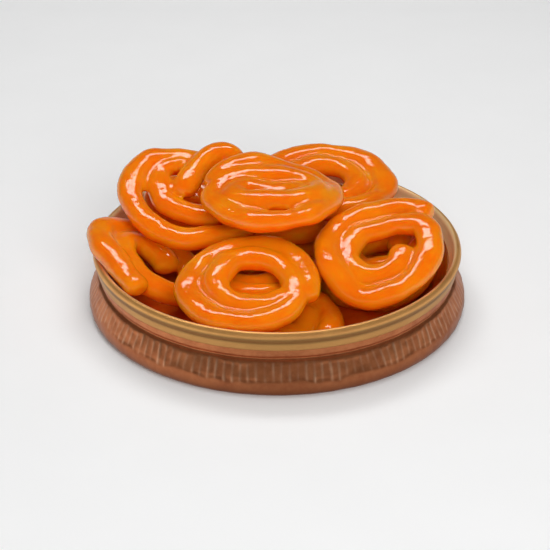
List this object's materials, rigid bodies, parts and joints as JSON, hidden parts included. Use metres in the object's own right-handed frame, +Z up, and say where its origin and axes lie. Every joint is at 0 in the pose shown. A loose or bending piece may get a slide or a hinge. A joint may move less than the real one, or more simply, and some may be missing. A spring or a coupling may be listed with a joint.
{
  "type": "jalebi in a bowl",
  "caption": "Heap of fried, syrup-soaked jalebi coils served in a round hammered copper bowl with a brass rim.",
  "frame": {"origin": "middle of the bowl's flat base, on the surface it stands on", "axes": "+Z up out of the bowl, -Y towards the side with the holed front sweet, +X to that side's right"},
  "size_m": [0.1854, 0.1854, 0.065],
  "materials": {
    "jalebi": "fried batter soaked in clear sugar syrup, glossy",
    "brass": "polished",
    "copper": "hammered copper, polished"
  },
  "bodies": {
    "root": {"bowl_body": "copper", "bowl_lining": "brass", "jalebi_back_left": "jalebi", "jalebi_back_right": "jalebi", "jalebi_front": "jalebi", "jalebi_left": "jalebi", "jalebi_low_back": "jalebi", "jalebi_low_front": "jalebi", "jalebi_low_left": "jalebi", "jalebi_low_right": "jalebi", "jalebi_mid_back": "jalebi", "jalebi_mid_front": "jalebi", "jalebi_mid_right": "jalebi", "jalebi_right": "jalebi", "jalebi_top": "jalebi"}
  },
  "joints": []
}
